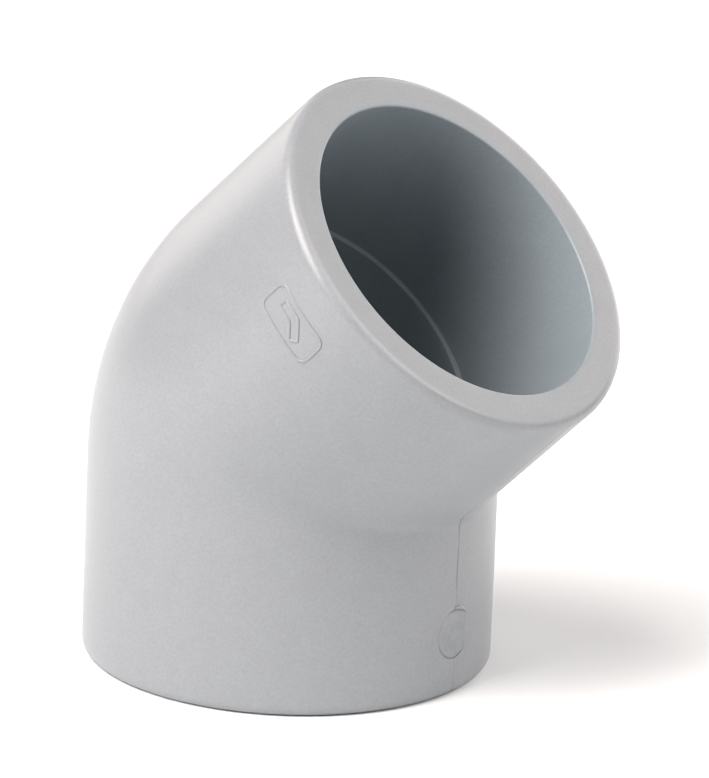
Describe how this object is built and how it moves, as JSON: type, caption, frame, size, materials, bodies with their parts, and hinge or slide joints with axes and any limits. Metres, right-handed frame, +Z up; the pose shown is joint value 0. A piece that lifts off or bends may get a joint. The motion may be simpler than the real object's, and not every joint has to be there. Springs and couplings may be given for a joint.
{
  "type": "pvc elbow fitting",
  "caption": "Short 45 degree pipe elbow moulded in grey PVC-U, with a plain solvent-cement socket and pipe stop at each end and a smooth bend between them.",
  "frame": {"origin": "centre of the lower mouth, in the plane of its face", "axes": "+Z up the lower leg's axis; +X towards the side to which the upper leg leans, at 45 degrees to +Z in the XZ plane; the mould's parting plane is XZ"},
  "size_m": [0.1017, 0.078, 0.1135],
  "materials": {
    "grey_pvc_u": "injection-moulded unplasticised PVC, light grey, satin with a soft sheen"
  },
  "bodies": {
    "root": {"elbow_body": "grey_pvc_u"}
  },
  "joints": []
}
